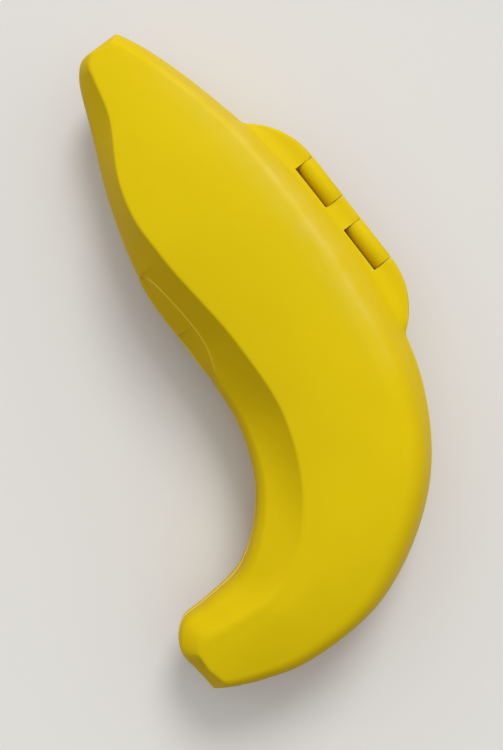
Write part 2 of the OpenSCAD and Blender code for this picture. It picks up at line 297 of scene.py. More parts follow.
@dataclass
class CaseForm:
    """Form that both halves share.

    Ribs cross the case at the seam, from the stem end to the blossom end, as pairs of points on the inner
    and the outer curve. Places are distances along the middle line from the stem end. Pairs of sizes are
    for the stem end and the blossom end, and out is the direction in which the hinge leaf leaves the case.
    """

    out: Vector
    ribs: tuple = (
        ((-49.9, 111.6), (-37, 119)), ((-52.1, 108.9), (-33.8, 117)), ((-53.1, 104.2), (-26, 111)),
        ((-51.6, 85), (-10.5, 95.8)), ((-49.1, 57.8), (8.5, 73.5)), ((-41.5, 26.8), (27.5, 45.5)),
        ((-27, -1.5), (42, 17)), ((-15.5, -28), (52.5, -22)), ((-13.6, -52.1), (48.8, -59.7)),
        ((-22.6, -75.7), (27.1, -95.5)), ((-37.7, -86.9), (-2.1, -113.8)),
        ((-46.5, -92.2), (-18.5, -117.9)), ((-49.1, -99.2), (-28, -118.9)),
        ((-48.3, -104.6), (-34.3, -119)), ((-46.2, -107.1), (-38.5, -119)),
    )
    half_depth: float = 25.0
    end_depths: Span = (12.0, 14.0)
    wall: float = 2.0
    seam: float = 0.2
    band: float = 3.5
    belly: Span = (95.0, 190.0)
    inner_knots: tuple = tuple(InnerKnot(*row) for row in (
        (0, 7.4, 0.0, 0.2, 3.5, 2.2), (4.5, 6.0, 0.0, 0.3, 2.4, 2.2), (8, 5.95, 0.0, 0.3, 1.6, 2.2),
        (12, 6.8, 0.0, 0.4, 1.2, 2.2), (29, 8.9, 0.0, 0.6, 0.8, 2.2), (48, 7.2, 0.0, 0.6, 0.9, 2.2),
        (58, 7.0, 0.0, 0.6, 0.9, 2.2), (68, 8.1, 0.0, 0.6, 0.9, 2.4), (80, 11.0, 0.0, 0.7, 1.0, 2.5),
        (100, 14.3, 0.0, 1.2, 1.0, 3.0), (140, 16.4, 0.06, 1.8, 1.0, 4.5), (180, 16.3, 0.4, 1.6, 1.2, 6.0),
        (200, 16.8, 0.5, 0.4, 2.4, 6.0), (215, 16.3, 0.5, 0.0, 3.5, 6.0), (232, 13.9, 0.38, 0.6, 3.5, 5.5),
        (252, 11.0, 0.28, 0.6, 4.0, 4.0), (271, 9.2, 0.2, 0.3, 2.8, 2.5),
    ))
    outer_knots: tuple = tuple(OuterKnot(*row) for row in (
        (0, 5.4, 8.0, 2.5), (20, 5.8, 8.0, 2.7), (44, 6.4, 8.0, 2.8), (60, 7.5, 8.0, 3.0),
        (80, 9.4, 8.0, 3.4), (120, 11.2, 8.5, 6.5), (150, 10.0, 10.0, 9.0), (180, 6.5, 12.0, 7.5),
        (205, 5.8, 11.0, 7.0), (230, 4.8, 8.0, 6.0), (271, 4.0, 6.0, 4.5),
    ))
    widest_lean: float = 0.48
    crown_width: float = 62.0
    foot_round: float = 3.0
    seam_round: float = 0.35
    hollow_share: float = 0.6
    outer_fall: float = 1.4
    inner_runs: Span = (2.8, 6.5)
    outer_runs: Span = (2.8, 3.5)
    ridge_runs: Span = (3.3, 4.5)
    stem_inset: float = 0.5
    end_rounds: Span = (0.9, 1.6)
    inner_rounds: Span = (1.4, 2.6)
    outer_rounds: Span = (0.6, 0.5)
    end_fade: float = 40.0
    scoop_place: float = 108.0
    scoop_half: float = 25.0
    scoop_depth: float = 6.0
    ledge: float = 0.5
    ledge_drop: float = 0.25
    ledge_growth: float = 2.0
    rib_parts: int = 4
    face_steps: int = 9
    inner_points: Points = field(init=False)
    outer_points: Points = field(init=False)
    runs: list[float] = field(init=False)

    def __post_init__(self) -> None:
        """Measures the middle line."""
        self.inner_points = with_ends([Vector(a) for a, _ in self.ribs])
        self.outer_points = with_ends([Vector(b) for _, b in self.ribs])
        places = [k / self.rib_parts for k in range((len(self.ribs) - 1) * self.rib_parts + 1)]
        line = [(curve_point(self.inner_points, p) + curve_point(self.outer_points, p)) / 2 for p in places]
        self.runs = [0.0, *accumulate((b - a).length for a, b in zip(line, line[1:]))]

    @property
    def length(self) -> float:
        """Length of the middle line."""
        return self.runs[-1]

    @property
    def scoop_span(self) -> Span:
        """Places where the thumb scoop starts and ends."""
        return self.scoop_place - self.scoop_half, self.scoop_place + self.scoop_half

    def rib(self, s: float) -> tuple[Vector, Vector]:
        """Points of the inner and the outer curve.

        Args:
            s: Place along the middle line.

        Returns:
            The two points.
        """
        s = max(0.0, min(self.length, s))
        k = min(bisect_right(self.runs, s), len(self.runs) - 1)
        place = (k - 1 + (s - self.runs[k - 1]) / (self.runs[k] - self.runs[k - 1])) / self.rib_parts
        return curve_point(self.inner_points, place), curve_point(self.outer_points, place)

    def depth_at(self, s: float) -> float:
        """Depth of a half, rounded down at its two ends.

        Args:
            s: Place along the middle line.

        Returns:
            The depth from the middle of the seam to the ridge.
        """
        start, end = self.belly
        stem, tail = self.end_depths
        if s < start:
            drop = quarter_round(s - self.stem_inset, self.end_rounds[0])
            return mix(stem, self.half_depth, math.sin(math.pi / 2 * max(0.0, s) / start)) - drop
        if s < end:
            return self.half_depth
        share = min(1.0, (s - end) / (self.length - end))
        drop = quarter_round(self.length - s, self.end_rounds[1])
        return mix(tail, self.half_depth, math.cos(math.pi / 2 * share)) - drop

    def scoop(self, s: float) -> float:
        """Depth of the thumb scoop: round at its stem side, running out at its blossom side.

        Args:
            s: Place along the middle line.

        Returns:
            The distance in from the rim.
        """
        x = (s - self.scoop_place) / self.scoop_half
        if abs(x) >= 1:
            return 0.0
        return self.scoop_depth * (math.sqrt(1 - x * x) if x < 0 else 1 - x * x)

    def corners(self, s: float, width: float, rise: float) -> tuple[Points, Points]:
        """Corners of a section's two sides, from the seam to the ridge.

        Args:
            s: Place along the middle line.
            width: Width of the section there.
            rise: Rise of the face from its edges to its ridge, less where the case is narrow.

        Returns:
            Five points of the inner and four of the outer side: distance from the rim, height over the seam.
        """
        knot = knot_at(self.inner_knots, s)
        c, o = (min(k.lean, self.widest_lean * width) for k in (knot, knot_at(self.outer_knots, s)))
        h, d = self.depth_at(s) - self.seam / 2, self.scoop(s)
        crown = rise * min(1.0, width / self.crown_width) ** 2
        edge = h - crown
        upright = mix(self.band, edge, knot.upright)
        hollow = Vector((c * self.hollow_share, mix(upright, edge, self.hollow_share) - knot.hollow))
        foot, ridge = Vector((d, mix(upright, hollow.y, d / hollow.x))), Vector((width / 2, h))
        shoulder = Vector((o, h - crown * self.outer_fall))
        return ([Vector((d, 0)), foot, hollow, Vector((c, edge)), ridge],
                [Vector((0, 0)), Vector((0, self.band)), shoulder, ridge])

    def along(self, s: float, lean: float, face: float, inset: float, side: Side = Side.INNER) -> float:
        """Place of a point whose section is set in from the two ends.

        Args:
            s: Place of the section.
            lean: Share of the ends' lean that the point has.
            face: Share of the way across the face.
            inset: Distance that every point of the section keeps from the ends.
            side: Side that the point is on.

        Returns:
            The place along the middle line.
        """
        runs = self.inner_runs if side is Side.INNER else self.outer_runs
        stem, tail = (inset + mix(run * lean, ridge, face) for run, ridge in zip(runs, self.ridge_runs))
        from_end = self.length - s
        return s + stem * max(0.0, 1 - s / self.end_fade) - tail * max(0.0, 1 - from_end / self.end_fade)

    def ridge_width(self, s: float, inset: float) -> float:
        """Width of the case where a section's ridge stands."""
        a, b = self.rib(self.along(s, 1, 1, inset))
        return (b - a).length

    def spot(self, s: float, side: Side, x: float) -> Vector:
        """Point at a distance in from the rim, or out of it along the hinge leaf.

        Args:
            s: Place along the middle line.
            side: Side whose rim is measured from.
            x: Distance in from the rim; outside it where negative.

        Returns:
            The point at the seam's plane.
        """
        a, b = self.rib(s)
        if side is Side.INNER:
            return a + (b - a).normalized() * x
        return b + (a - b).normalized() * x if x >= 0 else b - self.out * x

    def lay(self, s: float, sides: list[SidePath]) -> list[Points]:
        """Two sides of a section as points of the case, drawn in so that its ends' corners are round.

        Args:
            s: Place along the middle line.
            sides: Paths of the inner and the outer side, with as many points each.

        Returns:
            One list of points for each side, with the seam at height 0; both end on the same ridge point.
        """
        a, b = self.rib(self.along(s, 1, 1, sides[0].insets[-1]))
        ridge = (a + b) / 2
        laid = []
        for side, path in zip(Side, sides):
            stem, tail = self.inner_rounds if side is Side.INNER else self.outer_rounds
            ease = quarter_round(s - self.stem_inset, stem) + quarter_round(self.length - s, tail)
            points = []
            for p, inset in zip(path.points[:-1], path.insets):
                lean = clamp((p.y - self.band) / (path.edge.y - self.band))
                face = clamp((p.x - path.edge.x) / (path.ridge.x - path.edge.x))
                flat = self.spot(self.along(s, lean, face, inset, side), side, p.x + ease * (1 - face))
                points.append(Vector((flat.x, flat.y, p.y)))
            points.append(Vector((ridge.x, ridge.y, sides[0].points[-1].y)))
            laid.append(points)
        return laid


@dataclass
class HingeLine:
    """Pin's line and the spans along it, measured from its middle.

    Local x points away from the case and local y along the pin to the stem end.
    """

    place: Vector
    line: Vector
    height: float
    barrel_r: float = 3.6
    barrel_length: float = 17.4
    barrel_space: float = 10.6
    gap: float = 0.2
    lobe_r: float = 30.5
    edge_x: float = 3.4
    lobe_blend: float = 2.0
    pin_r: float = 1.5
    pin_play: float = 0.06
    pin_hold: float = 8.0

    @classmethod
    def from_joint(cls, joint: dict) -> "HingeLine":
        """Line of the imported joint."""
        x, y, z = (v / MM for v in joint["pos_m"])
        return cls(Vector((x, y)), Vector(joint["axis"][:2]).normalized(), z)

    @property
    def out(self) -> Vector:
        """Direction away from the case."""
        return Vector((self.line.y, -self.line.x))

    @property
    def barrel(self) -> Span:
        """Near and far end of each barrel."""
        near = self.barrel_space / 2
        return near, near + self.barrel_length

    @property
    def pocket(self) -> Span:
        """Near and far end of each pocket in the leaf."""
        near, far = self.barrel
        return near - self.gap, far + self.gap

    @property
    def bore(self) -> float:
        """Radius of the barrels' bores."""
        return self.pin_r + self.pin_play

    def local(self, point: Vector) -> Vector:
        """Point in the hinge's own directions."""
        d = point - self.place
        return Vector((d.dot(self.out), d.dot(self.line)))

    def leaf_edge(self, y: float) -> float:
        """Local x of the leaf's outline: straight along the pockets, then round to the lobe's end."""
        past = max(0.0, min(self.lobe_r, abs(y) - self.pocket[1]))
        return self.edge_x - self.lobe_r + math.sqrt(self.lobe_r ** 2 - past ** 2)

    def turned(self) -> Matrix:
        """Matrix from local millimetres to the case's metres.

        Returns:
            The matrix, four by four.
        """
        out, line = self.out, self.line
        rows = ((out.x, line.x, 0, self.place.x), (out.y, line.y, 0, self.place.y),
                (0, 0, 1, self.height), (0, 0, 0, 1))
        return Matrix.Scale(MM, 4) @ Matrix(rows)


def mark_edges(mesh: Mesh) -> None:
    """Stores how far the outward edges of a mesh are paled, as wearing and as a painted highlight, by how
    tightly they are rounded.

    Args:
        mesh: Mesh in metres, with its faces turned outwards.
    """
    tight, wide = PALED_EDGE_RADII
    layer = mesh.verts.layers.float.new(EDGE_WEAR_AND_HIGHLIGHT)
    mesh.normal_update()
    for edge in mesh.edges:
        turn = edge.calc_face_angle_signed(0.0)
        if turn <= 0 or edge.calc_length() > LONGEST_PALED_EDGE * MM:
            continue
        middle = (edge.verts[0].co + edge.verts[1].co) / 2
        line = (edge.verts[1].co - edge.verts[0].co).normalized()
        arms = (face.calc_center_median() - middle for face in edge.link_faces)
        span = sum((arm - line * arm.dot(line)).length for arm in arms) / MM
        if span <= 0:
            continue
        wear_and_highlight = smooth((turn / span - 1 / wide) / (1 / tight - 1 / wide))
        for vert in edge.verts:
            vert[layer] = max(vert[layer], wear_and_highlight)


def in_scene(name: str, data: bpy.types.ID) -> Object:
    """Object at the origin, linked to the scene.

    Args:
        name: Its name.
        data: Mesh, light or camera that it shows.

    Returns:
        The new object.
    """
    made = bpy.data.objects.new(name, data)
    bpy.context.scene.collection.objects.link(made)
    return made


def finished_object(name: str, mesh: Mesh, wear_and_highlight: bool = True) -> Object:
    """Object made from a mesh whose points are already in place.

    Args:
        name: Name of the piece.
        mesh: Mesh in metres; it is freed.
        wear_and_highlight: Whether its tight edges are paled, as wearing and as a painted highlight.

    Returns:
        The new object.
    """
    bmesh.ops.remove_doubles(mesh, verts=mesh.verts, dist=MERGE_DISTANCE)
    bmesh.ops.dissolve_degenerate(mesh, edges=mesh.edges, dist=MERGE_DISTANCE)
    bmesh.ops.recalc_face_normals(mesh, faces=mesh.faces)
    if wear_and_highlight:
        mark_edges(mesh)
    data = bpy.data.meshes.new(name)
    mesh.to_mesh(data)
    mesh.free()
    data.polygons.foreach_set("use_smooth", [True] * len(data.polygons))
    data.set_sharp_from_angle(angle=SHARP_ANGLE)
    return in_scene(name, data)


def grown_from(vert: Vert, new: set) -> Vert:
    """Vertex that an extrusion made from another, among all that it made."""
    return next(e.other_vert(vert) for e in vert.link_edges if e.other_vert(vert) in new)


def lofted(name: str, loops: list[Points]) -> Object:
    """Skin over closed loops of as many points each.

    Args:
        name: Name of the piece.
        loops: Loops in order, in millimetres; the first and last are closed up by merging their points.

    Returns:
        The new object.
    """
    mesh = bmesh.new()
    ring = bmesh.ops.create_circle(mesh, segments=len(loops[0]), radius=1.0)["verts"]
    for i, loop in enumerate(loops):
        if i > 0:
            edges = [mesh.edges.get(pair) for pair in zip(ring, [*ring[1:], ring[0]])]
            new = set(bmesh.ops.extrude_edge_only(mesh, edges=edges)["geom"])
            ring = [grown_from(vert, new) for vert in ring]
        for vert, point in zip(ring, loop):
            vert.co = point * MM
    return finished_object(name, mesh)


def rod_profile(bore: float, r: float, end: float, soft: float) -> list[Span]:
    """Profile of a bored rod with softened ends, as far each way from the pin's middle."""
    return [(bore, -end), (r - soft, -end), (r, soft - end), (r, end - soft), (r - soft, end), (bore, end)]


def turned_ring(mesh: Mesh, profile: list[Span], hinge: HingeLine, steps: int = 64) -> None:
    """Adds a closed profile spun about the pin's line.

    Args:
        mesh: Mesh that takes the shape.
        profile: Points of radius and place along the pin.
        hinge: Line to spin about.
        steps: Steps of the full turn.
    """
    place = hinge.turned()
    verts = [mesh.verts.new(place @ Vector((r, y, 0))) for r, y in profile]
    edges = [mesh.edges.new(pair) for pair in zip(verts, [*verts[1:], verts[0]])]
    bmesh.ops.spin(mesh, geom=[*verts, *edges], cent=place.translation, axis=(*hinge.line, 0),
                   angle=math.tau, steps=steps, use_merge=True)


def slab(mesh: Mesh, outline: Points, low: float, high: float, soft: float,
         upper: Points | None = None) -> None:
    """Adds a flat plate with rounded edges.

    Args:
        mesh: Mesh that takes the shape.
        outline: Outline in the plane, in millimetres.
        low: Height of its lower face.
        high: Height of its upper face.
        soft: Rounding of its edges.
        upper: Outline of its upper face, where that differs.
    """
    verts = [mesh.verts.new((p.x * MM, p.y * MM, low * MM)) for p in outline]
    face = bmesh.ops.contextual_create(mesh, geom=verts)["faces"]
    new = set(bmesh.ops.extrude_face_region(mesh, geom=face, use_keep_orig=True)["geom"])
    for vert, point in zip(verts, upper or outline):
        grown_from(vert, new).co = (point.x * MM, point.y * MM, high * MM)
    whole = new.union(verts)
    edges = [e for e in mesh.edges if whole.issuperset(e.verts)
             and len(e.link_faces) == 2 and e.calc_face_angle(0) > BEVEL_ANGLE]
    bmesh.ops.bevel(mesh, geom=edges, offset=soft * MM, affect="EDGES", segments=BEVEL_STEPS,
                    profile=0.5, material=-1, clamp_overlap=True)


def feed(tree: NodeTree, node: Node, inputs: dict) -> Node:
    """Sets and links a node's inputs.

    Args:
        tree: Tree that holds the node.
        node: The node.
        inputs: Values, and sockets to link, by the inputs' names or numbers.

    Returns:
        The same node.
    """
    for name, value in inputs.items():
        if isinstance(value, Socket):
            tree.links.new(value, node.inputs[name])
        else:
            node.inputs[name].default_value = value
    return node


def add_node(tree: NodeTree, kind: str, inputs: dict, **options: str) -> Node:
    """Adds a node.

    Args:
        tree: Tree that takes the node.
        kind: Kind of shader node.
        inputs: Its inputs, as feed takes them.
        options: The node's own options, which settle what inputs it has.

    Returns:
        The new node.
    """
    node = tree.nodes.new("ShaderNode" + kind)
    for name, value in options.items():
        setattr(node, name, value)
    return feed(tree, node, inputs)


def blended(tree: NodeTree, share: Socket, a: Socket | Colour, b: Socket | Colour) -> Socket:
    """Colour between two others.

    Args:
        tree: Tree that takes the node.
        share: Share of the second colour.
        a: First colour.
        b: Second colour.

    Returns:
        The blended colour.
    """
    a, b = (c if isinstance(c, Socket) else (*c, 1) for c in (a, b))
    return add_node(tree, "Mix", {"Factor": share, "A": a, "B": b}, data_type="RGBA").outputs["Result"]


@dataclass(frozen=True)
class MouldedPlastic:
    """Matte moulded plastic with fine grain, faint mottling, edges paled as wearing and as a painted
    highlight, and a painted sheen along a ridge.

    Each noise has its waves in a metre and its octaves of finer noise.
    """

    name: str
    colour: Colour
    ior: float = 1.49
    specular: float = 0.04
    mottle: float = 0.08
    mottle_noise: Span = (45.0, 3.0)
    roughness: Span = (0.40, 0.50)
    roughness_noise: Span = (600.0, 2.0)
    grain_noise: Span = (1 / 0.00035, 2.0)
    grain_depth: float = 0.00002
    grain_strength: float = 0.35
    # Share of the paling on tight edges, as wearing and as a painted highlight.
    edge_wear_and_highlight_level: float = 0.5
    # Tone and share of the pale colour, which paints highlights and sheen and stands for wearing on the edges
    # and the ridge.
    wear_and_highlight_tone: float = 0.95
    wear_and_highlight_share: float = 0.35
    # Noise that breaks the painted sheen along the ridge into a faint broken streak.
    sheen_streaks: Span = (0.1, 0.65)
    sheen_streak_noise: Span = (110.0, 2.0)

    def material(self) -> Material:
        """Node material of this finish.

        Returns:
            The new material.
        """
        made = bpy.data.materials.new(self.name)
        made.use_nodes = True
        tree = made.node_tree
        place = add_node(tree, "TexCoord", {}).outputs["Object"]
        darker = tuple(c * (1 - self.mottle) for c in self.colour)
        # Pale colour for the edges and the ridge: part wearing, part painted highlight and painted sheen.
        wear_and_highlight_colour = tuple(mix(c, self.wear_and_highlight_tone, self.wear_and_highlight_share) for c in self.colour)
        tint = blended(tree, self.noise(tree, place, self.mottle_noise), darker, self.colour)
        gloss = add_node(tree, "MapRange", {
            "Value": self.noise(tree, place, self.roughness_noise),
            "To Min": self.roughness[0], "To Max": self.roughness[1]})
        grain = add_node(tree, "Bump", {
            "Height": self.noise(tree, place, self.grain_noise),
            "Strength": self.grain_strength, "Distance": self.grain_depth})
        feed(tree, tree.nodes["Principled BSDF"], {
            "Base Color": blended(tree, self.wear_and_highlight(tree, place), tint, wear_and_highlight_colour),
            "Roughness": gloss.outputs["Result"], "Normal": grain.outputs["Normal"],
            "IOR": self.ior, "Specular IOR Level": self.specular})
        return made

    @staticmethod
    def noise(tree: NodeTree, place: Socket, waves: Span) -> Socket:
        """Noise at a place."""
        inputs = {"Vector": place, "Scale": waves[0], "Detail": waves[1]}
        return add_node(tree, "TexNoise", inputs).outputs["Fac"]

    def wear_and_highlight(self, tree: NodeTree, place: Socket) -> Socket:
        """How far the surface is paled: evenly on tight edges, as wearing and as a painted highlight, and in
        a faint broken streak of painted sheen along the outer ridge.

        Args:
            tree: Tree that takes the nodes.
            place: Coordinates of the noise that breaks up the painted sheen.

        Returns:
            The wear, from 0 to 1.
        """
        sheen_streaks = add_node(tree, "MapRange", {
            "Value": self.noise(tree, place, self.sheen_streak_noise),
            "From Min": self.sheen_streaks[0], "From Max": self.sheen_streaks[1]})
        shares = []
        for name, share in ((EDGE_WEAR_AND_HIGHLIGHT, self.edge_wear_and_highlight_level), (RIDGE_SHEEN_AND_RUBBING, sheen_streaks.outputs["Result"])):
            marked = add_node(tree, "Attribute", {}, attribute_name=name).outputs["Fac"]
            part = add_node(tree, "Math", {0: marked, 1: share}, operation="MULTIPLY")
            shares.append(part.outputs["Value"])
        return add_node(tree, "Math", dict(enumerate(shares)), operation="MAXIMUM").outputs["Value"]


@dataclass
class CaseHalf:
    """Shell of one half, lofted from its sections; the seam is at height 0 and the face upwards.

    Up is 1 for the half above the seam and -1 for the one below. Recess is how the scoop's cut meets the
    seam, as shares of the scoop's depth before and after its middle.
    """

    form: CaseForm
    hinge: HingeLine
    finish: Material
    body: str = ""
    up: int = 1
    rise: float = 0.0
    rim_in: float = 0.1
    recess: Span = (1.0, 1.0)
    band_soft: float = 0.4
    ledge_soft: float = 0.3
    step: float = 1.6
    fine_step: float = 0.8
    tip: float = 2.0
    tip_steps: int = 8
    stem_fine: float = 12.0
    tail_fine: float = 24.0
    scoop_fine: float = 4.0
    split: float = 0.03
    seam_points: int = 5

    def dress(self, piece: Object, *nodes: str) -> None:
        """Gives a piece its finish and its place in the frame."""
        hand_in(piece, self.finish, self.body, nodes)

    def stations(self) -> list[Station]:
        """Sections from the stem end to the blossom end.

        Returns:
            The stations, close together at the two ends and where the scoop starts.
        """
        form, step, fine, tip = self.form, self.step, self.fine_step, self.tip
        (start, end), length = form.scoop_span, form.length
        ease = [1 - math.cos(math.pi / 2 * i / self.tip_steps) for i in range(self.tip_steps)]
        before, after = form.scoop_place - self.split, form.scoop_place + self.split
        steep, tail = start + self.scoop_fine, length - self.tail_fine
        return [Station(s) for s in (
            *(mix(form.stem_inset, tip, x) for x in ease), *even_places(tip, self.stem_fine, fine),
            *even_places(self.stem_fine, start, step), *(start + self.scoop_fine * x for x in ease),
            *even_places(steep, before, step), before, after, *even_places(after + step, end, step),
            *even_places(end, tail, step), *even_places(tail, length - tip, fine),
            *(length - tip * x for x in ease[:0:-1]), length - tip * ease[1] / 2, length)]

    def outer_start(self, station: Station) -> list[Corner]:
        """First corners of the outer side: the seam's edge, the upright band and the wall's foot.

        Args:
            station: The section's place.

        Returns:
            Three corners.
        """
        form, x, soft = self.form, self.rim_in, self.band_soft
        return [Corner(Vector((x, 0)), form.seam_round, form.seam_round, steps=3),
                Corner(Vector((x, form.band / 2)), soft, soft, steps=6),
                Corner(Vector((x, form.band)), form.foot_round, form.foot_round, steps=8)]

    def inner_start(self, s: float, inner: Points) -> list[Corner]:
        """First corners of the inner side: the seam's edge, and the wall's foot or the scoop's ledge.

        Args:
            s: Place along the middle line.
            inner: Corners of the inner side.

        Returns:
            Three corners.
        """
        form, soft, d = self.form, self.form.seam_round, self.form.scoop(s)
        before, after = self.recess
        foot = Vector((self.rim_in + d * (before if s < form.scoop_place else after), 0))
        x = d + self.rim_in
        cut = clamp(form.ledge_growth * d / form.scoop_depth)
        wall = (inner[2] - inner[1]).normalized()
        half = knot_at(form.inner_knots, s).foot / 2
        rounded = Vector((x, inner[1].y - half)), Vector((x, inner[1].y)) + wall * half
        level = inner[1].y + wall.y / wall.x * form.ledge - form.ledge_drop
        ledge = Vector((x, level)), Vector((x + form.ledge, level))
        low, high = (mix(a, b, cut) for a, b in zip(rounded, ledge))
        near = mix((high - low).length / 2, form.ledge * self.ledge_soft, cut)
        far = mix(half, form.ledge * self.ledge_soft, cut)
        return [Corner(foot, soft, soft, steps=3), Corner(low, far, near, steps=4),
                Corner(high, near, far, steps=4)]

    def trimmed(self, station: Station, path: Points) -> Points:
        """Outer side's path as it is at a station; a plain half keeps it whole."""
        return path

    def outside(self, station: Station, land: float) -> list[Points]:
        """Outer skin of a section.

        Args:
            station: The section's place.
            land: Distance inside the rim that the skin starts at.

        Returns:
            Points of the inner and the outer side, from the rim to the ridge.
        """
        form, s = self.form, station.s
        width, scoop = form.ridge_width(s, 0), form.scoop(s)
        inner, outer = form.corners(s, width, self.rise)
        inner_knot, outer_knot = knot_at(form.inner_knots, s), knot_at(form.outer_knots, s)
        inner_path = rounded_path(Vector((scoop + land, 0)), [
            *self.inner_start(s, inner),
            Corner(inner[2], inner_knot.lean, inner_knot.lean, steps=9),
            Corner(inner[3], inner_knot.crease, inner_knot.crease, steps=8),
        ], inner[4], form.face_steps)
        outer_path = self.trimmed(station, rounded_path(Vector((land, 0)), [
            *self.outer_start(station),
            Corner(outer[2], outer_knot.wall_side, outer_knot.face_side, steps=12),
        ], outer[3], form.face_steps))
        sides = []
        for path, corners, start in ((inner_path, inner, scoop), (outer_path, outer, 0.0)):
            insets = [max(0.0, p.x - start - self.rim_in) for p in path[:self.seam_points]]
            insets += [0.0] * (len(path) - self.seam_points)
            sides.append(SidePath(path, insets, corners[-2], corners[-1]))
        return form.lay(s, sides)

    def inside(self, station: Station, rim: list[Span], foot: float) -> list[Points]:
        """Inner skin of a section, with the rim's points that lead to it.

        Args:
            station: The section's place.
            rim: Distance inside the rim and height over the seam of each point between the two skins.
            foot: Height at which the skin starts.

        Returns:
            Points of the inner and the outer side, from the rim to the ridge.
        """
        form, s, wall = self.form, station.s, self.form.wall
        width = form.ridge_width(s, wall)
        inner, outer = (moved_in(side, wall) for side in form.corners(s, width, self.rise))
        inner_knot, outer_knot = knot_at(form.inner_knots, s), knot_at(form.outer_knots, s)
        inner_path = rounded_path(Vector((inner[0].x, foot)), [
            Corner(inner[1], inner_knot.foot, inner_knot.foot, steps=3),
            Corner(inner[2], inner_knot.lean, inner_knot.lean, steps=5),
            Corner(inner[3], inner_knot.crease, inner_knot.crease, steps=5),
        ], inner[4], form.face_steps)
        outer_path = rounded_path(Vector((outer[0].x, foot)), [
            Corner(outer[1], form.foot_round, form.foot_round, steps=6),
            Corner(outer[2], outer_knot.wall_side, outer_knot.face_side, steps=8),
        ], outer[3], form.face_steps)
        sides = []
        for path, corners, start in ((inner_path, inner, form.scoop(s)), (outer_path, outer, 0.0)):
            led = [Vector((start + inset, height)) for inset, height in rim]
            insets = [*(inset for inset, _ in rim), *[wall] * len(path)]
            sides.append(SidePath([*led, *path], insets, corners[-2], corners[-1]))
        return form.lay(s, sides)

    def loops(self, land: float, rim: list[Span], foot: float) -> list[Points]:
        """Loops of the whole shell in its place, from the outer ridge over the rim to the inner ridge.

        Args:
            land: Width of the flat rim.
            rim: Distance inside the rim and height of each loop between the two skins.
            foot: Height at which the inner skin starts.

        Returns:
            The loops in order.
        """
        form, stations = self.form, self.stations()
        outside = [self.outside(station, land) for station in stations]
        inside = [self.inside(station, rim, foot) for station in stations]
        loops = []
        for sections in (outside, inside):
            inner = zip(*(sides[0] for sides in sections))
            outer = zip(*(sides[1] for sides in reversed(sections)))
            loops = [*reversed(loops), *([*a, *b] for a, b in zip(inner, outer))]
        seam = form.half_depth + self.up * form.seam / 2
        return [[Vector((p.x, p.y, seam + self.up * p.z)) for p in loop] for loop in loops]


@dataclass
class LowerHalf(CaseHalf):
    """Lower half with its locating lip, its barrels and their webs."""

    body: str = "lower_half"
    up: int = -1
    lip_height: float = 2.0
    lip: float = 0.9
    lip_soft: float = 0.25
    skin_foot: float = 0.5
    barrel_soft: float = 0.2
    boss_in: float = 0.6
    boss_out: float = 0.16
    web: Span = (1.3, 3.4)
    web_reach: float = 2.0
    web_out: float = 0.18
    web_clear: float = 0.3
    web_soft: float = 0.2
    gusset: Span = (3.1, 4.1)
    gusset_clear: float = 0.7
    gusset_wider: float = 1.2

    def build(self) -> None:
        """Builds and dresses the half's pieces."""
        self.dress(self.shell(), "lower_shell", "locating_lip")
        self.dress(self.barrels(), "lower_hinge_barrels")

    def shell(self) -> Object:
        """Shell and lip in one moulding.

        Returns:
            The new piece.
        """
        near, far, soft = self.form.wall - self.lip, self.form.wall, self.lip_soft
        top = -(self.lip_height + self.form.seam)
        rim = [(near, top + soft), (near + soft, top), (far - soft, top), (far, top + soft)]
        return lofted("lower_case_half", self.loops(near, rim, self.skin_foot))

    def barrels(self) -> Object:
        """Two bored barrels on webs.

        Returns:
            The new piece.
        """
        hinge, soft, out = self.hinge, self.barrel_soft, self.boss_out
        bore, r = hinge.bore, hinge.barrel_r
        boss, arc = r - self.boss_in, soft * ARC_SHARE
        mesh = bmesh.new()
        for side in (-1, 1):
            near, far = sorted(side * end for end in hinge.barrel)
            turned_ring(mesh, [
                (bore, near - out), (boss, near - out), (boss, near),
                (r - soft, near), (r - arc, near + arc), (r, near + soft),
                (r, far - soft), (r - arc, far - arc), (r - soft, far),
                (boss, far), (boss, far + out), (bore, far + out)], hinge)
            self.add_web(mesh, near, far)
        return finished_object("hinge_barrels", mesh, wear_and_highlight=False)

    def add_web(self, mesh: Mesh, near: float, far: float) -> None:
        """Adds the web from a barrel to the lower rim, and the wider gusset under it.

        Args:
            mesh: Mesh that takes the web.
            near: End of the barrel along the pin.
            far: Its other end.
        """
        hinge = self.hinge
        reach = hinge.barrel_r + hinge.gap + self.web_reach
        for depths, clear, wider in ((self.web, self.web_clear, 0.0),
                                     (self.gusset, self.gusset_clear, self.gusset_wider)):
            x, start, end = hinge.bore + clear, near - self.web_out - wider, far + self.web_out + wider
            corners = ((-reach, start), (-x, start), (-x, end), (-reach, end))
            outline = [hinge.place + hinge.out * a + hinge.line * b for a, b in corners]
            top, foot = (self.form.half_depth - depth for depth in depths)
            slab(mesh, outline, foot, top, self.web_soft)


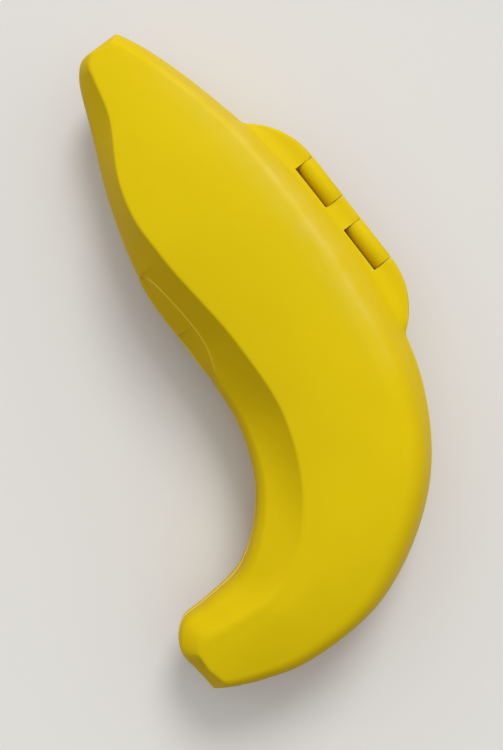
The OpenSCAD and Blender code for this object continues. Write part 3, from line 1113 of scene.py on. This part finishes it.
@dataclass
class UpperHalf(CaseHalf):
    """Upper half with the hinge leaf that grows out of its outer wall, and the leaf's knuckles."""

    body: str = "upper_half"
    rise: float = 1.4
    rim_in: float = 0.6
    recess: Span = (-0.10, -0.04)
    rebate: float = 2.25
    step_in: float = 0.85
    leaf: float = 3.0
    leaf_foot: float = 3.3
    leaf_fillet: float = 4.5
    leaf_soft: Span = (2.4, 1.8)
    leaf_soft_run: float = 10.0
    leaf_full: float = 2.5
    leaf_span: Span = (20.0, 180.0)
    pocket_wall: float = -4.7
    pocket_clear: float = 0.1
    pocket_eases: tuple[float, ...] = (0.0, 0.1, 0.3)
    pocket_turn: int = 5
    pocket_edge: float = 0.9
    # Painted sheen beside the outer ridge: its places, how far in its line runs, the strength and width of
    # its line and its glow, and how it fades at its ends.
    sheen_span: Span = (12.0, 150.0)
    sheen_in: float = 0.9
    sheen_and_rub_line: Span = (0.15, 0.9)
    sheen_glow: Span = (0.13, 6.0)
    sheen_fade: float = 0.7
    knuckle_in: float = 0.1
    knuckle_soft: float = 0.3
    knuckle_play: float = 0.02
    knuckle_past: float = 0.8
    knuckle_steps: int = 8
    lobe_in: float = 0.05

    def build(self) -> None:
        """Builds and dresses the half's pieces."""
        self.dress(self.shell(), "upper_shell", "upper_hinge_leaf")
        self.dress(self.knuckles())

    def rim_spot(self, s: float) -> Vector:
        """Outer rim's point in the hinge's own directions."""
        return self.hinge.local(self.form.rib(s)[1])

    def by_hinge(self, s: float) -> bool:
        """Whether a place is in the part of the case that the hinge is on."""
        return self.leaf_span[0] < s < self.leaf_span[1]

    def place_at(self, y: float) -> float:
        """Place along the middle line whose outer rim point lies at a distance along the pin.

        Args:
            y: Distance along the pin from its middle.

        Returns:
            The place along the middle line.
        """
        low, high = self.leaf_span
        for _ in range(HALVINGS):
            middle = (low + high) / 2
            if self.rim_spot(middle).y > y:
                low = middle
            else:
                high = middle
        return low

    def stations(self) -> list[Station]:
        """Sections, with close ones where the pockets start and end.

        Returns:
            The stations from the stem end to the blossom end.
        """
        near, far = self.hinge.pocket
        soft = self.pocket_eases[-1]
        ends = [(far, 1), (near, -1), (-near, 1), (-far, -1)]
        placed = []
        for y, leaf_side in ends:
            for eased in self.pocket_eases:
                placed.append(Station(self.place_at(y + leaf_side * (soft - eased)), False, eased))
            placed.append(Station(self.place_at(y), True, soft, leaf_side))
        for base in super().stations():
            y, close = self.rim_spot(base.s).y, self.by_hinge(base.s)
            if not close or all(abs(y - end) >= 2 * soft for end, _ in ends):
                placed.append(Station(base.s, close and near < abs(y) < far))
        return sorted(placed, key=lambda station: (station.s, station.turn))

    def leaf_reach(self, station: Station) -> float:
        """How far the leaf stands out of the rim.

        Args:
            station: The section's place.

        Returns:
            The distance, 0 where there is no leaf.
        """
        hinge, spot = self.hinge, self.rim_spot(station.s)
        if abs(spot.y) > hinge.pocket[1] + hinge.lobe_r or not self.by_hinge(station.s):
            return 0.0
        return smooth_floor(hinge.leaf_edge(spot.y) - spot.x, hinge.lobe_blend) - station.eased

    def outer_start(self, station: Station) -> list[Corner]:
        """First corners of the outer side, out along the leaf where there is one.

        Args:
            station: The section's place.

        Returns:
            Three corners: the seam's edge, the leaf's or band's edge and the wall's foot.
        """
        form = self.form
        f = self.leaf_reach(station)
        grown = smooth(f / self.leaf_full)
        past = abs(self.rim_spot(station.s).y) - self.hinge.pocket[1]
        edge = mix(form.band / 2, self.leaf, grown)
        foot = mix(form.band, self.leaf_foot, grown)
        soft = mix(self.band_soft, mix(*self.leaf_soft, smooth(past / self.leaf_soft_run)), grown)
        fillet = mix(form.foot_round, self.leaf_fillet, grown)
        x = self.rim_in * (1 - grown)
        return [Corner(Vector((x - f, 0)), form.seam_round, form.seam_round, steps=3),
                Corner(Vector((x - f, edge)), soft, soft, steps=6),
                Corner(Vector((x, foot)), fillet, fillet, steps=8)]

    def trimmed(self, station: Station, path: Points) -> Points:
        """Outer side's path, cut off upright at a pocket's wall and rounded at the cut's edge.

        Args:
            station: The section's place.
            path: The whole leaf's path there, from the rim to the ridge.

        Returns:
            A path of as many points; those past the cut stay where they are.
        """
        if not station.pocket:
            return path
        x = min(self.step_in - self.pocket_clear, self.rim_spot(station.s).x - self.pocket_wall)
        last = max(i for i, p in enumerate(path) if i > 0 and p.x < x)
        before, kept = path[last], path[last + 1]
        top = mix(before, kept, (x - before.x) / (kept.x - before.x))
        turn, soft = self.pocket_turn, self.pocket_eases[-1]
        foot = top - Vector((0, soft))
        share = min(1.0, soft / max(MERGE_DISTANCE, (kept - top).length))
        edge = top + (kept - top) * self.pocket_edge * share
        upright = [foot * (i / (last - turn - 1)) for i in range(last - turn)]
        shares = [k / turn for k in range(1, turn + 1)]
        rounded = [mix(mix(foot, top, v), mix(top, edge, v), v) for v in shares]
        return [path[0], *(Vector((x, p.y)) for p in upright), *rounded, *path[last + 1:]]

    def shell(self) -> Object:
        """Shell and leaf in one moulding.

        Returns:
            The new piece.
        """
        rim = [(self.step_in, self.rebate)]
        piece = lofted("upper_case_half", self.loops(self.step_in, rim, self.rebate))
        self.paint_ridge_sheen(piece)
        return piece

    def paint_ridge_sheen(self, piece: Object) -> None:
        """Stores a painted sheen on the face beside its outer ridge, from the stem to past the hinge: a thin
        line that stands for rubbing and a highlight, and a broad painted highlight.

        Args:
            piece: The upper half.
        """
        form = self.form
        start, end = self.sheen_span
        places = even_places(start, end, self.fine_step)
        ridge = KDTree(len(places))
        for i, s in enumerate(places):
            at = form.along(s, 1, 0, 0, Side.OUTER)
            corner = form.corners(s, form.ridge_width(s, 0), self.rise)[1][2]
            flat = form.spot(at, Side.OUTER, corner.x + self.sheen_in)
            ridge.insert((flat.x, flat.y, 0), i)
        ridge.balance()
        layer = piece.data.attributes.new(RIDGE_SHEEN_AND_RUBBING, "FLOAT", "POINT")
        for vert, value in zip(piece.data.vertices, layer.data):
            if vert.co.z < form.half_depth * MM:
                continue
            _, i, gap = ridge.find((vert.co.x / MM, vert.co.y / MM, 0))
            share = (places[i] - start) / (end - start)
            # Painted highlight: a thin line and a broad glow about the ridge.
            near = sum(most * math.exp(-(gap / width) ** 2) for most, width in (self.sheen_and_rub_line, self.sheen_glow))
            value.value = near * math.sin(math.pi * share) ** self.sheen_fade

    def knuckles(self) -> Object:
        """Round undersides of the leaf's middle and end knuckles.

        Returns:
            The new piece.
        """
        hinge, steps = self.hinge, self.knuckle_steps
        near, far = hinge.pocket
        r, soft, bore = self.leaf - self.knuckle_in, self.knuckle_soft, hinge.pin_r + self.knuckle_play
        mesh = bmesh.new()
        turned_ring(mesh, rod_profile(bore, r, near, soft), hinge)
        end = hinge.pin_hold + self.knuckle_past
        reach = [(min(r, hinge.leaf_edge(far + x) - self.lobe_in), far + x)
                 for x in (soft, *(end * i / steps for i in range(1, steps + 1)))]
        profile = [(bore, far), (r - soft, far), *reach, (bore, far + end)]
        for side in (-1, 1):
            turned_ring(mesh, [(radius, side * y) for radius, y in profile], hinge)
        return finished_object("leaf_knuckles", mesh)


class TabSide(Enum):
    """The two pull tabs."""

    UPPER = "upper"
    LOWER = "lower"


@dataclass
class PullTab:
    """Tab that fills one half of the thumb scoop at the seam."""

    form: CaseForm
    side: TabSide
    finish: Material
    thickness: float = 2.4
    lap: float = 2.0
    proud: float = 0.2
    tuck: float = 1.6
    tuck_power: int = 4
    least: float = 0.3
    sunk: float = 0.4
    soft: float = 0.6
    upper_slope: float = 1.9
    clear_of_rim: float = 0.03
    step: float = 1.2

    def outline(self, drawn_in: float = 0.0) -> Points:
        """Outline from the scoop's edge to a little past the rim's own line.

        Args:
            drawn_in: Distance by which the outer edge is drawn in where the scoop is deepest.

        Returns:
            Points in the seam's plane.
        """
        form = self.form
        start, end = form.scoop_span
        if self.side is TabSide.UPPER:
            end = form.scoop_place
        else:
            start = form.scoop_place - self.lap
        outer, inner = [], []
        for s in (*even_places(start, end, self.step), end):
            a, b = form.rib(s)
            rib = (b - a).normalized()
            d = form.scoop(s)
            past = max(0.0, s - form.scoop_place) / form.scoop_half
            tucked = min(self.tuck * past ** self.tuck_power, max(0.0, d - self.least))
            depth = d / form.scoop_depth
            outer.append(a - rib * (self.proud * math.sqrt(depth) - tucked - drawn_in * depth))
            inner.append(a + rib * (d + self.sunk))
        return [*outer, *reversed(inner)]

    def build(self) -> None:
        """Builds and dresses the tab."""
        form, name = self.form, self.side.value
        mesh = bmesh.new()
        if self.side is TabSide.UPPER:
            low, slope = form.half_depth + form.seam / 2 - self.clear_of_rim, self.upper_slope
        else:
            low, slope = form.half_depth - form.seam / 2 - self.thickness, 0.0
        slab(mesh, self.outline(), low, low + self.thickness, self.soft, self.outline(slope))
        piece = finished_object(f"{name}_tab", mesh, wear_and_highlight=False)
        hand_in(piece, self.finish, f"{name}_half", (f"{name}_pull_tab",))


@dataclass
class HingePin:
    """Rod that the two halves turn on."""

    hinge: HingeLine
    finish: Material
    soft: float = 0.3
    steps: int = 48

    def build(self) -> None:
        """Builds and dresses the pin."""
        hinge = self.hinge
        mesh = bmesh.new()
        end = hinge.pocket[1] + hinge.pin_hold
        turned_ring(mesh, rod_profile(0.0, hinge.pin_r, end, self.soft), hinge, self.steps)
        hand_in(finished_object("pin_rod", mesh), self.finish, "upper_half", ("hinge_pin",))


def hand_in(piece: Object, finish: Material, body: str, nodes: tuple[str, ...]) -> None:
    """Gives a piece its finish and ties it to the frame.

    Args:
        piece: The finished piece.
        finish: Its material.
        body: Body that carries it.
        nodes: Nodes that it stands for.
    """
    piece.data.materials.append(finish)
    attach(piece, body)
    if nodes:
        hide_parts(*nodes)
    LOG.info("%s: %d faces on %s", piece.name, len(piece.data.polygons), body)


@dataclass
class Studio:
    """Pale floor, soft light and the camera above the case."""

    floor_radius: float = 4.0
    floor_sides: int = 96
    floor_colour: Colour = (0.80, 0.79, 0.77)
    floor_bounce: Colour = (0.42, 0.23, 0.09)
    floor_roughness: float = 0.9
    floor_specular: float = 0.1
    camera_place: tuple[float, float, float] = (-8.2, -9.8, 455.0)
    camera_turn: float = -9.0
    lens: float = 57.3
    sensor: float = 36.0
    nearest: float = 0.01
    key_side: tuple[float, float, float] = (0.28, 0.635, 0.72)
    key_angle: float = 22.0
    key_strength: float = 1.26
    sky_colour: Colour = (1.0, 0.99, 0.97)
    sky_side: tuple[float, float, float] = (0.22, 0.90, 0.36)
    sky_from: float = -0.5
    sky: Span = (0.19, 1.08)

    def build(self) -> None:
        """Builds the floor, the lights and the camera."""
        scene = bpy.context.scene
        scene.view_settings.view_transform = "Standard"
        self.add_floor()
        self.add_light()
        data = bpy.data.cameras.new("camera")
        data.sensor_fit = "VERTICAL"
        data.sensor_height = self.sensor
        data.lens = self.lens
        data.clip_start = self.nearest
        camera = in_scene("camera", data)
        camera.location = Vector(self.camera_place) * MM
        camera.rotation_euler = (0, 0, math.radians(self.camera_turn))
        scene.camera = camera

    def add_floor(self) -> None:
        """Adds the floor, pale to the eye, which throws less light on the case than so pale a floor would."""
        mesh = bmesh.new()
        bmesh.ops.create_circle(mesh, cap_ends=True, segments=self.floor_sides, radius=self.floor_radius)
        data = bpy.data.meshes.new("floor")
        mesh.to_mesh(data)
        mesh.free()
        made = bpy.data.materials.new("floor_paper")
        made.use_nodes = True
        tree = made.node_tree
        rays = add_node(tree, "LightPath", {}).outputs
        seen = rays["Is Camera Ray"]
        for name in ("Is Glossy Ray", "Is Transmission Ray"):
            seen = add_node(tree, "Math", {0: seen, 1: rays[name]}, operation="MAXIMUM").outputs["Value"]
        feed(tree, tree.nodes["Principled BSDF"], {
            "Base Color": blended(tree, seen, self.floor_bounce, self.floor_colour),
            "Roughness": self.floor_roughness, "Specular IOR Level": self.floor_specular})
        data.materials.append(made)
        floor = in_scene("floor", data)

    def add_light(self) -> None:
        """Adds the key light and the sky."""
        world = bpy.data.worlds.new("sky")
        world.use_nodes = True
        tree = world.node_tree
        place = add_node(tree, "TexCoord", {}).outputs["Generated"]
        facing = add_node(tree, "VectorMath", {0: place, 1: self.sky_side}, operation="DOT_PRODUCT")
        level = add_node(tree, "MapRange", {
            "Value": facing.outputs["Value"], "From Min": self.sky_from,
            "To Min": self.sky[0], "To Max": self.sky[1]})
        feed(tree, tree.nodes["Background"], {
            "Color": (*self.sky_colour, 1), "Strength": level.outputs["Result"]})
        bpy.context.scene.world = world
        data = bpy.data.lights.new("key", "SUN")
        data.angle = math.radians(self.key_angle)
        data.energy = self.key_strength
        key = in_scene("key", data)
        key.rotation_euler = (-Vector(self.key_side)).to_track_quat("-Z", "Y").to_euler()


def main() -> None:
    """Builds the case and its studio."""
    logging.basicConfig(level=logging.INFO, format="%(message)s")
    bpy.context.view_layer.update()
    Studio().build()
    hinge = HingeLine.from_joint(frame["joints"][0])
    form = CaseForm(hinge.out)
    yellow = MouldedPlastic("yellow_case_plastic", (0.77, 0.57, 0.004)).material()
    pale = MouldedPlastic("pale_pin_plastic", (0.78, 0.74, 0.58)).material()
    LowerHalf(form, hinge, yellow).build()
    UpperHalf(form, hinge, yellow).build()
    for side in TabSide:
        PullTab(form, side, yellow).build()
    HingePin(hinge, pale).build()


if __name__ == "__main__":
    main()
